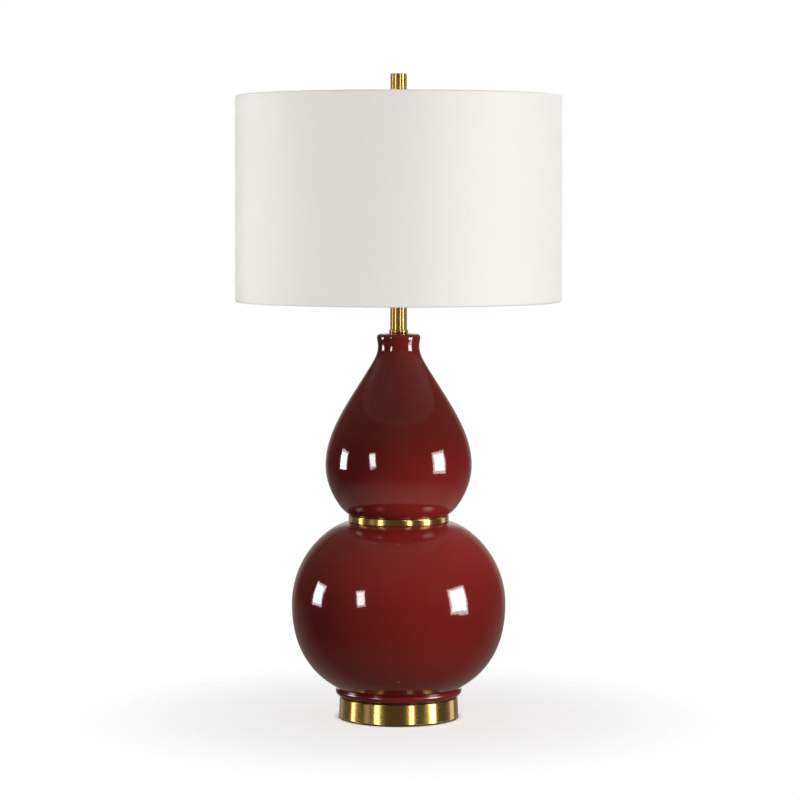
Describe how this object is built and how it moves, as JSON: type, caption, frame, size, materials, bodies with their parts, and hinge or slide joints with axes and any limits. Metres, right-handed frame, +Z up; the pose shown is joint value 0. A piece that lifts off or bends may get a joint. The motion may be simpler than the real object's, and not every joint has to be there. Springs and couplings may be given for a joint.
{
  "type": "table lamp",
  "caption": "Glazed double gourd table lamp on a round brass foot, with a brass waist ring, harp, finial and linen drum shade.",
  "frame": {"origin": "middle of the felt's underside, where the lamp stands", "axes": "+Z up the lamp's axis; -Y is the front, where the switch knob points; +Y is the back, where the cord leaves; the harp's legs stand along X"},
  "size_m": [0.3825, 0.3826, 0.7565],
  "materials": {
    "felt": "dark pressed felt",
    "polished_brass": "satin-polished, lacquered",
    "black_nylon": "moulded, fine satin",
    "rubber": "matte black sheet",
    "zinc_steel": "zinc plated",
    "oxblood_glaze": "high-gloss dark red glaze",
    "contact_brass": "plain bright brass",
    "nickel_steel": "satin nickel plated",
    "fibre_board": "waxed fibre board",
    "phenolic": "black phenolic moulding",
    "bulb_metal": "bright rolled thread",
    "bulb_insulation": "black vitrite",
    "frosted_glass": "white inside frost",
    "shade_linen": "off-white linen weave",
    "shade_styrene": "white translucent sheet",
    "white_wire": "white enamelled wire"
  },
  "bodies": {
    "lamp_body": {"felt_pad": "felt", "base_shell": "polished_brass", "cord_bushing": "black_nylon", "foot_gasket": "rubber", "base_flat_washer": "zinc_steel", "base_lock_washer": "zinc_steel", "base_hex_nut": "zinc_steel", "lamp_pipe": "zinc_steel", "lower_gourd": "oxblood_glaze", "waist_ring": "polished_brass", "upper_gourd": "oxblood_glaze", "neck_seat_ring": "polished_brass", "neck_tube": "polished_brass", "neck_check_ring": "polished_brass", "neck_lock_nut": "contact_brass", "harp_saddle": "nickel_steel", "socket_cap": "polished_brass", "cap_set_screw": "contact_brass", "socket_shell": "polished_brass", "socket_liner": "fibre_board", "socket_block": "phenolic", "terminal_screws": "contact_brass", "centre_contact": "contact_brass", "screw_shell": "contact_brass"},
    "switch": {"switch_stem": "contact_brass", "switch_knob": "phenolic"},
    "bulb": {"bulb_screw_cap": "bulb_metal", "bulb_insulator": "bulb_insulation", "bulb_contact": "bulb_metal", "bulb_glass": "frosted_glass"},
    "harp": {"harp_wire": "nickel_steel", "harp_top_clip": "nickel_steel"},
    "harp_swivel": {"harp_stud": "nickel_steel"},
    "left_ferrule": {"ferrule_left": "polished_brass"},
    "right_ferrule": {"ferrule_right": "polished_brass"},
    "shade": {"shade_fabric": "shade_linen", "shade_liner": "shade_styrene", "shade_top_ring": "white_wire", "shade_bottom_ring": "white_wire", "spider_fitter": "white_wire"},
    "finial": {"finial": "polished_brass"}
  },
  "joints": [
    {"name": "switch_turn", "type": "hinge", "parent": "lamp_body", "child": "switch", "pos_m": [0, -0.022, 0.5448], "axis": [0, -1, 0], "continuous": true},
    {"name": "bulb_turn", "type": "hinge", "parent": "lamp_body", "child": "bulb", "pos_m": [0, 0, 0.5683], "axis": [0, 0, 1], "continuous": true},
    {"name": "harp_lift", "type": "slide", "parent": "lamp_body", "child": "harp", "axis": [0, 0, 1], "range_m": [0, 0.02]},
    {"name": "left_ferrule_slide", "type": "slide", "parent": "harp", "child": "left_ferrule", "axis": [0, 0, 1], "range_m": [0, 0.015]},
    {"name": "right_ferrule_slide", "type": "slide", "parent": "harp", "child": "right_ferrule", "axis": [0, 0, 1], "range_m": [0, 0.015]},
    {"name": "shade_swivel", "type": "hinge", "parent": "harp", "child": "harp_swivel", "pos_m": [0, 0, 0.7159], "axis": [0, 0, 1], "continuous": true},
    {"name": "shade_lift", "type": "slide", "parent": "harp_swivel", "child": "shade", "axis": [0, 0, 1], "range_m": [0, 0.27]},
    {"name": "finial_turn", "type": "hinge", "parent": "shade", "child": "finial", "pos_m": [0, 0, 0.7384], "axis": [0, 0, 1], "continuous": true}
  ]
}
